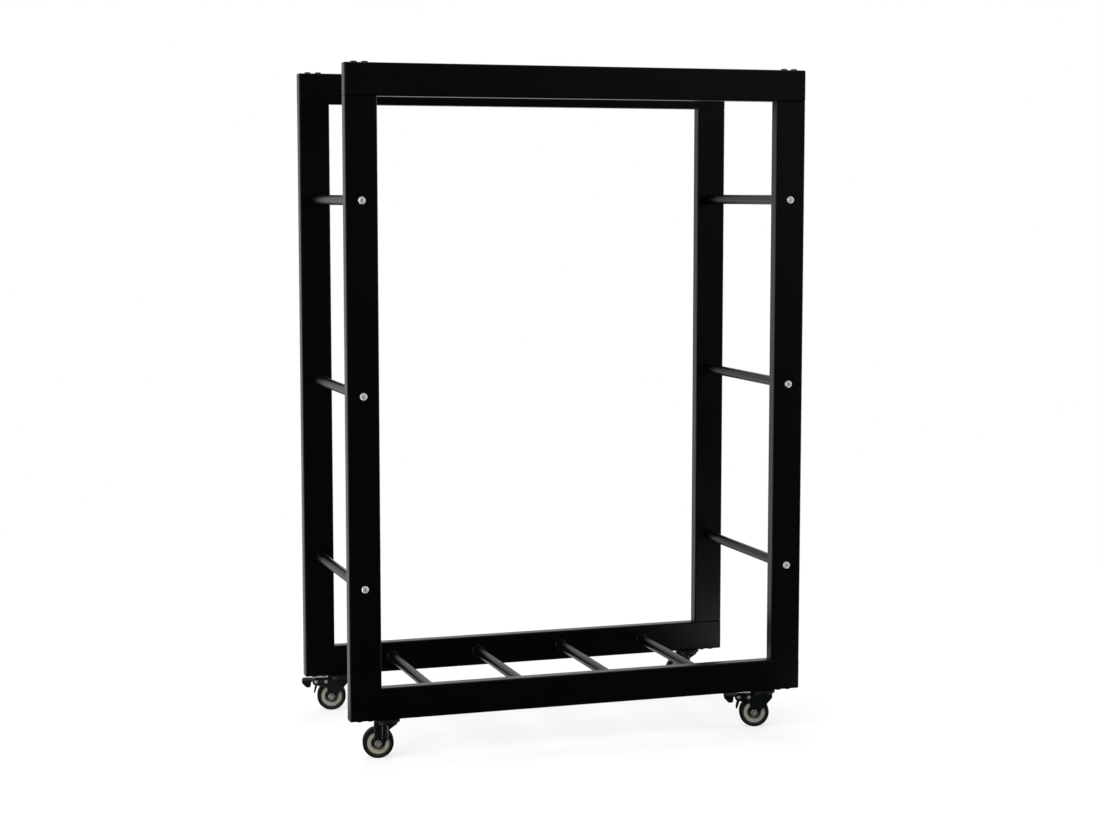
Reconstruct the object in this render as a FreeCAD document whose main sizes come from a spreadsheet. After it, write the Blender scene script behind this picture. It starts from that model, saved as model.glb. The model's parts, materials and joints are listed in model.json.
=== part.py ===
import FreeCAD
import Part
import Sketcher
import math
import os
import re
from collections import namedtuple

# Firewood rack: an open frame of flat box tube and round bars on four swivel casters.
# Millimetres. X runs along the width, Y from front to rear and Z up.
# The origin lies on the floor under the middle of the frame.

SIZES = {
    # frame of box tube, the height without the casters
    "rack_width": 750,
    "rack_depth": 350,
    "frame_height": 1000,
    "post_width": 50,
    "rail_height": 50,
    "tube_depth": 20,
    "tube_wall": 1.5,
    "tube_corner": 2.5,
    # caps on the rail ends and tapped plugs in the post ends
    "cap_plate": 2.5,
    "cap_insert": 8,
    "cap_edge": 2,
    "plug_length": 14,
    # round bars
    "bar_diameter": 16,
    "bar_wall": 1.2,
    "bar_pitch": 295,
    "base_bar_pitch": 150,
    "insert_length": 22,
    # bolts through the posts into the bars
    "bolt_size": 6,
    "bolt_head": 11.5,
    "bolt_head_height": 3.2,
    "bolt_dome": 2.4,
    "bolt_socket": 5,
    "bolt_socket_depth": 1.8,
    "bolt_reach": 18,
    # screws through the rails into the posts
    "screw_size": 5,
    "screw_head": 10.5,
    "screw_head_height": 2.1,
    "screw_dome": 1.7,
    "screw_socket": 3,
    "screw_socket_depth": 1.2,
    "screw_reach": 11,
    "screw_spacing": 17,
    # fits
    "push_gap": 0.1,
    "thread_gap": 0.05,
    "running_gap": 0.05,
    "hole_play": 0.6,
    # caster head: stem, nut, bearing cup and balls
    "caster_inset": 60,
    "stem_size": 8,
    "stem_reach": 18,
    "stem_nut_width": 13,
    "stem_nut_height": 6.5,
    "rivet_diameter": 14,
    "rivet_height": 2.2,
    "rivet_round": 1,
    "swivel_play": 0.2,
    "cup_diameter": 40,
    "cup_plate": 2,
    "cup_wall": 2,
    "cup_round": 1.5,
    "skirt_gap": 0.5,
    "track_diameter": 26,
    "track_depth": 0.6,
    "ball_size": 3.2,
    "ball_play": 0.05,
    # how far each caster is turned at rest, in degrees
    "front_left_turn": 12,
    "front_right_turn": 20,
    "rear_left_turn": 12,
    "rear_right_turn": 16,
    # fork pressed from sheet
    "trail": 14,
    "fork_sheet": 2,
    "bend_radius": 1.5,
    "crown_diameter": 34,
    "crown_front": 15,
    "shoulder_drop": 7,
    "shoulder_round": 4,
    "tip_radius": 6,
    "tyre_room": 6,
    "leg_ahead": 17.5,
    "leg_step": 9,
    "brace_drop": 10,
    "rib_ahead": 7,
    "rib_width": 3,
    "rib_crest": 1,
    "rib_height": 1,
    "flange_width": 5,
    "flange_height": 2.4,
    # wheel
    "wheel_diameter": 48,
    "wheel_width": 20,
    "tyre_shoulder": 3.2,
    "tyre_bead": 18.8,
    "bead_step": 0.9,
    "rim_diameter": 34,
    "rim_width": 18,
    "rim_round": 1,
    "key_width": 6,
    "key_height": 1.5,
    "recess_diameter": 22,
    "web_sheet": 5,
    "hub_diameter": 14,
    "hub_width": 21,
    "side_play": 0.3,
    "sleeve_diameter": 9,
    # axle
    "axle_size": 6,
    "axle_head": 11,
    "axle_head_height": 3,
    "axle_head_round": 2,
    "axle_nut_width": 10,
    "axle_nut_height": 3.6,
    "axle_nut_collar": 1.6,
    "axle_end": 1.2,
    # brake
    "pivot_back": 25.5,
    "stop_back": 9,
    "ear_radius": 6.4,
    "ear_root_back": 7.5,
    "ear_root_rise": 16,
    "pin_size": 4,
    "pin_head": 6,
    "pin_head_height": 1.4,
    "pin_head_round": 1.2,
    "lever_width": 18,
    "lever_hub": 8,
    "arm_top": 2.5,
    "arm_sheet": 3,
    "arm_reach": 9,
    "brake_gap": 3.5,
    "tab_rise": 6,
    "tab_sheet": 2,
    "tab_root": 4.6,
    "tab_neck": 1,
    "tab_neck_drop": 5,
    "toe_width": 24,
    "toe_sheet": 2,
    "toe_start": 7.5,
    "toe_reach": 24.5,
    "toe_nose": 1,
    "toe_crest": 2.5,
    "toe_drop": 9.5,
    "toe_heel": 9.5,
    "toe_sole": 16.5,
    "toe_round": 2.6,
    "leaf_sheet": 0.7,
    "leaf_width": 8,
}

BALL_COUNT = 12

# Side bars and base bars, in pitches from the middle of their row.
SIDE_BARS = {"lower": -1, "middle": 0, "upper": 1}
BASE_BARS = (-1.5, -0.5, 0.5, 1.5)

# Sharpest bend inside a tube, and the most of a wall that a rounded edge takes.
LEAST_BEND = 0.2
EDGE_SHARE = 0.8

# Places that several pieces share, written with the sizes above.
POST_X = "(rack_width / 2 - post_width / 2)"
FRAME_Y = "(rack_depth / 2 - tube_depth / 2)"
BAR_LENGTH = "(rack_depth - 2 * tube_depth)"
INNER_CORNER = f"max(tube_corner - tube_wall; {LEAST_BEND})"
TUBE_LOOSE = "(2 * tube_wall + 2 * push_gap)"
MID_HEIGHT = "(frame_height / 2)"
STEM_X = "(rack_width / 2 - caster_inset)"
CROWN_TOP = "(cup_plate + ball_size + 2 * ball_play - 2 * track_depth)"
CROWN_UNDER = f"({CROWN_TOP} + fork_sheet)"
BALL_DROP = "(cup_plate - track_depth + ball_play + ball_size / 2)"
AXLE_DROP = f"({CROWN_UNDER} + tyre_room + wheel_diameter / 2)"
CASTER_HEIGHT = f"({AXLE_DROP} + wheel_diameter / 2)"
LEG_INSIDE = "(hub_width / 2 + side_play)"
LEG_OUTSIDE = f"({LEG_INSIDE} + fork_sheet)"
PIVOT_X = "(-trail - pivot_back)"
STOP_X = "(-trail - stop_back)"
PIVOT_Z = f"(-{CROWN_TOP} - ear_radius)"

# A corner of an outline: sharp, rounded, or an arc about a given centre.
Corner = namedtuple("Corner", "x y radius centred", defaults=("0", False))

Caster = namedtuple("Caster", "name x y turn braked")
CASTERS = (
    Caster("front_left", f"-{STEM_X}", f"-{FRAME_Y}", "front_left_turn", False),
    Caster("front_right", STEM_X, f"-{FRAME_Y}", "front_right_turn", True),
    Caster("rear_left", f"-{STEM_X}", FRAME_Y, "rear_left_turn", True),
    Caster("rear_right", STEM_X, FRAME_Y, "rear_right_turn", False),
)

doc = FreeCAD.newDocument("FirewoodRack")
sheet = doc.addObject("Spreadsheet::Sheet", "Sizes")
for row, (alias, number) in enumerate(SIZES.items(), start=1):
    sheet.set(f"A{row}", alias)
    sheet.set(f"B{row}", str(number))
    sheet.setAlias(f"B{row}", alias)
doc.recompute()

ALIAS = re.compile(r"\b(" + "|".join(SIZES) + r")\b")
parts = []


def spelled(text):
    """Expression text with each size written as a cell of the sheet."""
    return ALIAS.sub(r"Sizes.\1", text)


def value(text):
    """Present number of an expression, for the first guess of a sketch."""
    return float(sheet.evalExpression(spelled(text)))


def bind(item, path, text):
    """Tie a property to an expression in the sizes."""
    item.setExpression(path, spelled(text))


# Sketches

def sketch_on(body, role, offset="0"):
    """New sketch on one of the body's own planes, moved along its normal."""
    sketch = body.newObject("Sketcher::SketchObject", f"{body.Name}_sketch")
    plane = [feature for feature in body.Origin.OriginFeatures if feature.Role == role][0]
    sketch.AttachmentSupport = [(plane, "")]
    sketch.MapMode = "FlatFace"
    bind(sketch, "AttachmentOffset.Base.z", offset)
    return sketch


def constrain(sketch, kind, *reference, text):
    """Add a dimension and tie it to an expression."""
    index = sketch.addConstraint(Sketcher.Constraint(kind, *reference, value(text)))
    bind(sketch, f"Constraints[{index}]", text)


def fix_point(sketch, geometry, position, x, y):
    """Hold a point of the sketch at the given place from its origin."""
    constrain(sketch, "DistanceX", -1, 1, geometry, position, text=x)
    constrain(sketch, "DistanceY", -1, 1, geometry, position, text=y)


def add_circle(sketch, x, y, diameter):
    centre = FreeCAD.Vector(value(x), value(y), 0)
    circle = Part.Circle(centre, FreeCAD.Vector(0, 0, 1), value(diameter) / 2)
    geometry = sketch.addGeometry(circle)
    fix_point(sketch, geometry, 3, x, y)
    constrain(sketch, "Diameter", geometry, text=diameter)


def straight_runs(corners, places):
    """End points of the straight run that leaves each corner, before rounding."""
    runs = []
    for start, finish, start_at, finish_at in zip(
        corners, corners[1:] + corners[:1], places, places[1:] + places[:1]
    ):
        start_radius = value(start.radius) if start.centred else 0
        finish_radius = value(finish.radius) if finish.centred else 0
        span = finish_at - start_at
        heading = math.atan2(span.y, span.x)
        heading -= math.asin((finish_radius - start_radius) / span.Length)
        left = FreeCAD.Vector(-math.sin(heading), math.cos(heading), 0)
        runs.append([start_at - left * start_radius, finish_at - left * finish_radius])
    return runs


def arc_between(centre, radius, start, finish):
    """Arc that runs anticlockwise from start to finish."""
    first = math.atan2(start.y - centre.y, start.x - centre.x)
    last = math.atan2(finish.y - centre.y, finish.x - centre.x)
    if last < first:
        last += 2 * math.pi
    return Part.ArcOfCircle(Part.Circle(centre, FreeCAD.Vector(0, 0, 1), radius), first, last)


def add_outline(sketch, corners):
    """Closed outline, anticlockwise, with straight runs between its corners."""
    places = [FreeCAD.Vector(value(corner.x), value(corner.y), 0) for corner in corners]
    runs = straight_runs(corners, places)
    arcs = {}
    for n, corner in enumerate(corners):
        radius = value(corner.radius)
        if radius == 0:
            continue
        arriving = runs[n - 1]
        leaving = runs[n]
        back = (arriving[0] - arriving[1]).normalize()
        ahead = (leaving[1] - leaving[0]).normalize()
        left_turn = ahead.cross(back).z > 0
        centre = places[n]
        if not corner.centred:
            half_angle = back.getAngle(ahead) / 2
            trim = radius / math.tan(half_angle)
            arriving[1] = places[n] + back * trim
            leaving[0] = places[n] + ahead * trim
            centre = places[n] + (back + ahead).normalize() * (radius / math.sin(half_angle))
        ends = (arriving[1], leaving[0]) if left_turn else (leaving[0], arriving[1])
        arcs[n] = (arc_between(centre, radius, *ends), left_turn)
    lines = [sketch.addGeometry(Part.LineSegment(*run)) for run in runs]
    for n, corner in enumerate(corners):
        before = lines[n - 1]
        after = lines[n]
        if n not in arcs:
            sketch.addConstraint(Sketcher.Constraint("Coincident", before, 2, after, 1))
            fix_point(sketch, after, 1, corner.x, corner.y)
            continue
        curve, left_turn = arcs[n]
        arc = sketch.addGeometry(curve)
        entry = 1 if left_turn else 2
        sketch.addConstraint(Sketcher.Constraint("Tangent", before, 2, arc, entry))
        sketch.addConstraint(Sketcher.Constraint("Tangent", arc, 3 - entry, after, 1))
        constrain(sketch, "Radius", arc, text=corner.radius)
        if corner.centred:
            fix_point(sketch, arc, 3, corner.x, corner.y)
            continue
        apex = sketch.addGeometry(Part.Point(places[n]), True)
        fix_point(sketch, apex, 1, corner.x, corner.y)
        sketch.addConstraint(Sketcher.Constraint("PointOnObject", apex, 1, before))
        sketch.addConstraint(Sketcher.Constraint("PointOnObject", apex, 1, after))


def rectangle(width, height, radius="0"):
    """Corners of a rectangle about the sketch origin."""
    return [
        Corner(f"-({width}) / 2", f"-({height}) / 2", radius),
        Corner(f"({width}) / 2", f"-({height}) / 2", radius),
        Corner(f"({width}) / 2", f"({height}) / 2", radius),
        Corner(f"-({width}) / 2", f"({height}) / 2", radius),
    ]


def hexagon(across_flats):
    """Corners of a hexagon about the sketch origin."""
    reach = f"{across_flats} / 2 / cos(30)"
    return [Corner(f"{reach} * cos({60 * n})", f"{reach} * sin({60 * n})") for n in range(6)]


# Features

def new_body(label):
    body = doc.addObject("PartDesign::Body", label)
    body.Label = label
    return body


def pad(body, sketch, length, symmetric=False, reverse=False):
    feature = body.newObject("PartDesign::Pad", f"{body.Name}_pad")
    feature.Profile = sketch
    feature.SideType = "Symmetric" if symmetric else "One side"
    feature.Reversed = reverse
    bind(feature, "Length", length)


def revolve(body, sketch):
    """Turn a profile once round the upright axis of its sketch."""
    feature = body.newObject("PartDesign::Revolution", f"{body.Name}_revolution")
    feature.Profile = sketch
    feature.ReferenceAxis = (sketch, ["V_Axis"])
    feature.Angle = 360


def check_cut(body, feature):
    """Stop if a cut has taken nothing away."""
    doc.recompute()
    if feature.Shape.Volume >= feature.BaseFeature.Shape.Volume:
        raise RuntimeError(f"{body.Label}: {feature.Label} cuts nothing")


def cut(body, sketch, length=None, symmetric=True):
    """Pocket against the sketch normal: to a depth, or right through."""
    doc.recompute()
    feature = body.newObject("PartDesign::Pocket", f"{body.Name}_pocket")
    feature.Profile = sketch
    feature.SideType = "Symmetric" if symmetric else "One side"
    feature.Type = "Length" if length else "ThroughAll"
    if length:
        bind(feature, "Length", length)
    check_cut(body, feature)


def groove(body, sketch):
    """Cut a ring round the upright axis of the sketch."""
    doc.recompute()
    feature = body.newObject("PartDesign::Groove", f"{body.Name}_groove")
    feature.Profile = sketch
    feature.ReferenceAxis = (sketch, ["V_Axis"])
    feature.Angle = 360
    check_cut(body, feature)


def place(item, x, y, z, turn=None, rotation=None):
    """Put a piece in its place, turned about Z by a size or by a fixed rotation."""
    if rotation:
        item.Placement = FreeCAD.Placement(FreeCAD.Vector(), rotation)
    for axis, text in zip("xyz", (x, y, z)):
        bind(item, f"Placement.Base.{axis}", text)
    if turn:
        bind(item, "Placement.Rotation.Angle", f"-{turn}")


def group(label, copies):
    """Several equal loose pieces as one sub-part."""
    item = doc.addObject("Part::Compound", label)
    item.Label = label
    item.Links = copies
    parts.append(item)


def copy_of(master):
    link = doc.addObject("App::Link", f"{master.Name}_copy")
    link.LinkedObject = master
    return link


def around_x(degrees):
    return FreeCAD.Rotation(FreeCAD.Vector(1, 0, 0), degrees)


def around_z(degrees):
    return FreeCAD.Rotation(FreeCAD.Vector(0, 0, 1), degrees)


# Frame

def add_tube_profile(sketch, across, up):
    """Box tube section: outer outline and bore."""
    add_outline(sketch, rectangle(across, up, "tube_corner"))
    inside = (f"{across} - 2 * tube_wall", f"{up} - 2 * tube_wall")
    add_outline(sketch, rectangle(*inside, INNER_CORNER))


def add_screw_circles(sketch, centre, diameter):
    """The pair of screws at one rail end."""
    for side in ("-", "+"):
        add_circle(sketch, f"{centre} {side} screw_spacing / 2", "0", diameter)


def make_post(label, x, y):
    body = new_body(label)
    section = sketch_on(body, "XY_Plane")
    add_tube_profile(section, "post_width", "tube_depth")
    pad(body, section, "frame_height - 2 * rail_height")
    holes = sketch_on(body, "XZ_Plane")
    for step in SIDE_BARS.values():
        height = f"{MID_HEIGHT} - rail_height + {step} * bar_pitch"
        add_circle(holes, "0", height, "bolt_size + hole_play")
    cut(body, holes)
    place(body, x, y, f"{CASTER_HEIGHT} + rail_height")
    parts.append(body)


def make_rail(label, y, z, carries_casters):
    body = new_body(label)
    section = sketch_on(body, "YZ_Plane")
    add_tube_profile(section, "tube_depth", "rail_height")
    pad(body, section, "rack_width - 2 * cap_plate", symmetric=True)
    holes = sketch_on(body, "XY_Plane")
    for centre in (f"-{POST_X}", POST_X):
        add_screw_circles(holes, centre, "screw_size + hole_play")
    cut(body, holes)
    if carries_casters:
        stem_holes = sketch_on(body, "XY_Plane")
        for centre in (f"-{STEM_X}", STEM_X):
            add_circle(stem_holes, centre, "0", "stem_size + hole_play")
        cut(body, stem_holes, symmetric=False)
    place(body, "0", y, z)
    parts.append(body)


def make_bar(label, x, z):
    body = new_body(label)
    section = sketch_on(body, "XZ_Plane")
    add_circle(section, "0", "0", "bar_diameter")
    add_circle(section, "0", "0", "bar_diameter - 2 * bar_wall")
    pad(body, section, BAR_LENGTH, symmetric=True)
    place(body, x, "0", z)
    parts.append(body)


def make_frame():
    rail_z = {
        "top": f"{CASTER_HEIGHT} + frame_height - rail_height / 2",
        "bottom": f"{CASTER_HEIGHT} + rail_height / 2",
    }
    for end, y in (("front", f"-{FRAME_Y}"), ("rear", FRAME_Y)):
        for side, x in (("left", f"-{POST_X}"), ("right", POST_X)):
            make_post(f"{end}_{side}_post", x, y)
        for level, z in rail_z.items():
            make_rail(f"{end}_{level}_rail", y, z, carries_casters=level == "bottom")
    for side, x in (("left", f"-{POST_X}"), ("right", POST_X)):
        for level, step in SIDE_BARS.items():
            height = f"{CASTER_HEIGHT} + {MID_HEIGHT} + {step} * bar_pitch"
            make_bar(f"{side}_{level}_bar", x, height)
    for number, step in enumerate(BASE_BARS, start=1):
        make_bar(f"base_bar_{number}", f"{step} * base_bar_pitch", rail_z["bottom"])


def make_end_caps():
    cap = new_body("end_cap")
    plate = sketch_on(cap, "YZ_Plane")
    add_outline(plate, rectangle("tube_depth", "rail_height", "tube_corner"))
    pad(cap, plate, "cap_plate")
    doc.recompute()
    outer = [
        f"Edge{n}"
        for n, edge in enumerate(cap.Shape.Edges, start=1)
        if edge.BoundBox.XMin > value("cap_plate / 2")
    ]
    plate_pad = cap.Tip
    edge_round = cap.newObject("PartDesign::Fillet", "end_cap_fillet")
    edge_round.Base = (plate_pad, outer)
    bind(edge_round, "Radius", f"min(cap_edge; cap_plate * {EDGE_SHARE})")
    insert = sketch_on(cap, "YZ_Plane")
    inside = (f"tube_depth - {TUBE_LOOSE}", f"rail_height - {TUBE_LOOSE}")
    add_outline(insert, rectangle(*inside, INNER_CORNER))
    pad(cap, insert, "cap_insert", reverse=True)
    copies = []
    seat = "(rack_width / 2 - cap_plate)"
    for y in (f"-{FRAME_Y}", FRAME_Y):
        for z in ("rail_height / 2", "frame_height - rail_height / 2"):
            for x, degrees in ((seat, 0), (f"-{seat}", 180)):
                link = copy_of(cap)
                place(link, x, y, f"{CASTER_HEIGHT} + {z}", rotation=around_z(degrees))
                copies.append(link)
    group("rail_end_caps", copies)


def make_post_plugs():
    plug = new_body("post_plug")
    section = sketch_on(plug, "XY_Plane")
    inside = (f"post_width - {TUBE_LOOSE}", f"tube_depth - {TUBE_LOOSE}")
    add_outline(section, rectangle(*inside, INNER_CORNER))
    add_screw_circles(section, "0", "screw_size + 2 * thread_gap")
    pad(plug, section, "plug_length")
    copies = []
    for x in (f"-{POST_X}", POST_X):
        for y in (f"-{FRAME_Y}", FRAME_Y):
            for z in ("rail_height", "frame_height - rail_height - plug_length"):
                link = copy_of(plug)
                place(link, x, y, f"{CASTER_HEIGHT} + {z}")
                copies.append(link)
    group("post_end_plugs", copies)


def make_bar_inserts():
    insert = new_body("bar_insert")
    section = sketch_on(insert, "XZ_Plane")
    add_circle(section, "0", "0", "bar_diameter - 2 * bar_wall - 2 * push_gap")
    add_circle(section, "0", "0", "bolt_size + 2 * thread_gap")
    pad(insert, section, "insert_length", symmetric=True)
    copies = []
    for x in (f"-{POST_X}", POST_X):
        for step in SIDE_BARS.values():
            for side in ("-", ""):
                link = copy_of(insert)
                height = f"{CASTER_HEIGHT} + {MID_HEIGHT} + {step} * bar_pitch"
                place(link, x, f"{side}({BAR_LENGTH} / 2 - insert_length / 2)", height)
                copies.append(link)
    group("bar_inserts", copies)


def make_socket_screw(label, kind, shank):
    """Button-head screw along Z, its head resting on the origin plane."""
    screw = new_body(label)
    profile = sketch_on(screw, "XZ_Plane")
    add_outline(profile, [
        Corner("0", f"-({shank})"),
        Corner(f"{kind}_size / 2", f"-({shank})"),
        Corner(f"{kind}_size / 2", "0"),
        Corner(f"{kind}_head / 2", "0"),
        Corner(f"{kind}_head / 2", f"{kind}_head_height", f"{kind}_dome"),
        Corner("0", f"{kind}_head_height"),
    ])
    revolve(screw, profile)
    socket = sketch_on(screw, "XY_Plane", f"{kind}_head_height")
    add_outline(socket, hexagon(f"{kind}_socket"))
    cut(screw, socket, f"{kind}_socket_depth", symmetric=False)
    return screw


def make_bar_bolts():
    bolt = make_socket_screw("bar_bolt", "bolt", "tube_depth + bolt_reach")
    copies = []
    for x in (f"-{POST_X}", POST_X):
        for step in SIDE_BARS.values():
            for y, degrees in (("-rack_depth / 2", 90), ("rack_depth / 2", -90)):
                link = copy_of(bolt)
                height = f"{CASTER_HEIGHT} + {MID_HEIGHT} + {step} * bar_pitch"
                place(link, x, y, height, rotation=around_x(degrees))
                copies.append(link)
    group("bar_bolts", copies)


def make_rail_screws():
    screw = make_socket_screw("rail_screw", "screw", "rail_height + screw_reach")
    copies = []
    for x in (f"-{POST_X}", POST_X):
        for side in ("-", "+"):
            for y in (f"-{FRAME_Y}", FRAME_Y):
                for z, degrees in (("frame_height", 0), ("0", 180)):
                    link = copy_of(screw)
                    across = f"{x} {side} screw_spacing / 2"
                    place(link, across, y, f"{CASTER_HEIGHT} + {z}", rotation=around_x(degrees))
                    copies.append(link)
    group("rail_screws", copies)


# Caster heads, fixed under the bottom rails

def copies_on_casters(label, master, z):
    copies = []
    for caster in CASTERS:
        link = copy_of(master)
        place(link, caster.x, caster.y, z)
        copies.append(link)
    group(label, copies)


def make_caster_nuts():
    nut = new_body("stem_nut")
    section = sketch_on(nut, "XY_Plane")
    add_outline(section, hexagon("stem_nut_width"))
    add_circle(section, "0", "0", "stem_size + 2 * thread_gap")
    pad(nut, section, "stem_nut_height")
    copies_on_casters("caster_nuts", nut, f"{CASTER_HEIGHT} + tube_wall")


def make_caster_stems():
    """Stem screwed into the rail, riveted over under the fork crown."""
    stem = new_body("stem")
    rivet_top = f"-({CROWN_UNDER} + swivel_play)"
    rivet_end = f"-({CROWN_UNDER} + swivel_play + rivet_height)"
    profile = sketch_on(stem, "XZ_Plane")
    add_outline(profile, [
        Corner("0", rivet_end),
        Corner("rivet_diameter / 2", rivet_end, "rivet_round"),
        Corner("rivet_diameter / 2", rivet_top),
        Corner("stem_size / 2", rivet_top),
        Corner("stem_size / 2", "stem_reach"),
        Corner("0", "stem_reach"),
    ])
    revolve(stem, profile)
    copies_on_casters("caster_stems", stem, CASTER_HEIGHT)


def add_ball_track(body):
    track = sketch_on(body, "XZ_Plane")
    add_circle(track, "track_diameter / 2", f"-{BALL_DROP}", "ball_size + 2 * ball_play")
    groove(body, track)


def make_caster_cups():
    cup = new_body("cup")
    bore = "stem_size / 2 + push_gap"
    inner = "cup_diameter / 2 - cup_wall"
    rim = f"-({CROWN_TOP} - skirt_gap)"
    profile = sketch_on(cup, "XZ_Plane")
    add_outline(profile, [
        Corner(bore, "-cup_plate"),
        Corner(inner, "-cup_plate"),
        Corner(inner, rim),
        Corner("cup_diameter / 2", rim),
        Corner("cup_diameter / 2", "0", "cup_round"),
        Corner(bore, "0"),
    ])
    revolve(cup, profile)
    add_ball_track(cup)
    copies_on_casters("caster_cups", cup, CASTER_HEIGHT)


def make_caster_balls():
    ball = doc.addObject("Part::Sphere", "ball")
    bind(ball, "Radius", "ball_size / 2")
    copies = []
    for caster in CASTERS:
        for n in range(BALL_COUNT):
            link = copy_of(ball)
            angle = 360 * n / BALL_COUNT
            x = f"{caster.x} + track_diameter / 2 * cos({angle})"
            y = f"{caster.y} + track_diameter / 2 * sin({angle})"
            place(link, x, y, f"{CASTER_HEIGHT} - {BALL_DROP}")
            copies.append(link)
    group("caster_balls", copies)


# Casters: each is built about its swivel axis, with the underside of the rail at Z = 0

def place_on_caster(item, caster, x="0", z="0"):
    """Place a piece of a caster, turned with it about its stem."""
    across = f"{caster.x} + ({x}) * cos({caster.turn})"
    along = f"{caster.y} - ({x}) * sin({caster.turn})"
    place(item, across, along, f"{CASTER_HEIGHT} + ({z})", turn=caster.turn)


def plain_side_view():
    """Leg that runs straight down behind the axle and is braced to the crown."""
    ahead = "(leg_ahead - trail)"
    return [
        Corner("-trail", f"-{AXLE_DROP}", "tip_radius", True),
        Corner(ahead, f"leg_step - {AXLE_DROP}", "shoulder_round"),
        Corner(ahead, f"-{CROWN_TOP} - brace_drop", "shoulder_round"),
        Corner("crown_front", f"-{CROWN_UNDER}"),
        Corner("crown_front", f"-{CROWN_TOP}"),
        Corner("-trail - tip_radius", f"-{CROWN_TOP}"),
    ]


def braked_side_view():
    """Leg that widens to the crown, with an ear that carries the brake pins."""
    return [
        Corner("-trail", f"-{AXLE_DROP}", "tip_radius", True),
        Corner("crown_front", f"-{CROWN_TOP} - shoulder_drop", "shoulder_round"),
        Corner("crown_front", f"-{CROWN_TOP}"),
        Corner(PIVOT_X, PIVOT_Z, "ear_radius", True),
        Corner("-trail - ear_root_back", f"ear_root_rise - {AXLE_DROP}", "shoulder_round"),
    ]


def add_leg_ribs(body):
    """Pressed rib and edge flange on the outer face of each plain leg."""
    rib = "(rib_ahead - trail)"
    edge = "(leg_ahead - trail)"
    section = sketch_on(body, "XY_Plane", f"-{CROWN_UNDER} - bend_radius")
    face = LEG_OUTSIDE
    for side in ("-", ""):
        near = f"{side}({face} - fork_sheet / 2)"
        rib_top = f"{side}({face} + rib_height)"
        flange_top = f"{side}({face} + flange_height)"
        ribs = [
            [
                Corner(f"{rib} - rib_width / 2", near),
                Corner(f"{rib} + rib_width / 2", near),
                Corner(f"{rib} + rib_crest / 2", rib_top),
                Corner(f"{rib} - rib_crest / 2", rib_top),
            ],
            [
                Corner(f"{edge} - flange_width", near),
                Corner(edge, near),
                Corner(edge, flange_top),
                Corner(f"{edge} - fork_sheet", flange_top),
            ],
        ]
        for outline in ribs:
            add_outline(section, outline if side == "" else outline[::-1])
    pad(body, section, f"{AXLE_DROP} - {CROWN_UNDER} - bend_radius - tip_radius", reverse=True)


def make_fork(caster):
    body = new_body(f"{caster.name}_fork")
    leg_end = f"-({AXLE_DROP} + 2 * tip_radius)"
    channel = sketch_on(body, "YZ_Plane")
    outer_bend = "bend_radius + fork_sheet"
    add_outline(channel, [
        Corner(f"-{LEG_OUTSIDE}", leg_end),
        Corner(f"-{LEG_INSIDE}", leg_end),
        Corner(f"-{LEG_INSIDE}", f"-{CROWN_UNDER}", "bend_radius"),
        Corner(LEG_INSIDE, f"-{CROWN_UNDER}", "bend_radius"),
        Corner(LEG_INSIDE, leg_end),
        Corner(LEG_OUTSIDE, leg_end),
        Corner(LEG_OUTSIDE, f"-{CROWN_TOP}", outer_bend),
        Corner(f"-{LEG_OUTSIDE}", f"-{CROWN_TOP}", outer_bend),
    ])
    reach = "(trail + pivot_back + crown_diameter)"
    pad(body, channel, f"2 * {reach}", symmetric=True)
    if not caster.braked:
        add_leg_ribs(body)
    trimming = sketch_on(body, "XZ_Plane")
    add_outline(trimming, [
        Corner(f"-2 * {reach}", f"-2 * {AXLE_DROP}"),
        Corner(f"2 * {reach}", f"-2 * {AXLE_DROP}"),
        Corner(f"2 * {reach}", AXLE_DROP),
        Corner(f"-2 * {reach}", AXLE_DROP),
    ])
    add_outline(trimming, braked_side_view() if caster.braked else plain_side_view())
    cut(body, trimming)
    crown = sketch_on(body, "XY_Plane", f"-{CROWN_TOP}")
    add_circle(crown, "0", "0", "crown_diameter")
    pad(body, crown, "fork_sheet", reverse=True)
    add_ball_track(body)
    stem_hole = sketch_on(body, "XY_Plane")
    add_circle(stem_hole, "0", "0", "stem_size + 2 * running_gap")
    cut(body, stem_hole)
    pin_holes = sketch_on(body, "XZ_Plane")
    add_circle(pin_holes, "-trail", f"-{AXLE_DROP}", "axle_size + 2 * running_gap")
    if caster.braked:
        for x in (PIVOT_X, STOP_X):
            add_circle(pin_holes, x, PIVOT_Z, "pin_size + 2 * running_gap")
    cut(body, pin_holes)
    place_on_caster(body, caster)
    parts.append(body)


# Wheels and axles: built about the axle, which lies along Y

def place_on_axle(body, caster):
    place_on_caster(body, caster, x="-trail", z=f"-{AXLE_DROP}")
    parts.append(body)


def make_axle_bolt(caster):
    body = new_body(f"{caster.name}_axle_bolt")
    tip = f"-({LEG_OUTSIDE} + axle_nut_height + axle_nut_collar + axle_end)"
    head = f"({LEG_OUTSIDE} + axle_head_height)"
    profile = sketch_on(body, "XY_Plane")
    add_outline(profile, [
        Corner("0", tip),
        Corner("axle_size / 2", tip),
        Corner("axle_size / 2", LEG_OUTSIDE),
        Corner("axle_head / 2", LEG_OUTSIDE),
        Corner("axle_head / 2", head, "axle_head_round"),
        Corner("0", head),
    ])
    revolve(body, profile)
    place_on_axle(body, caster)


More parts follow.
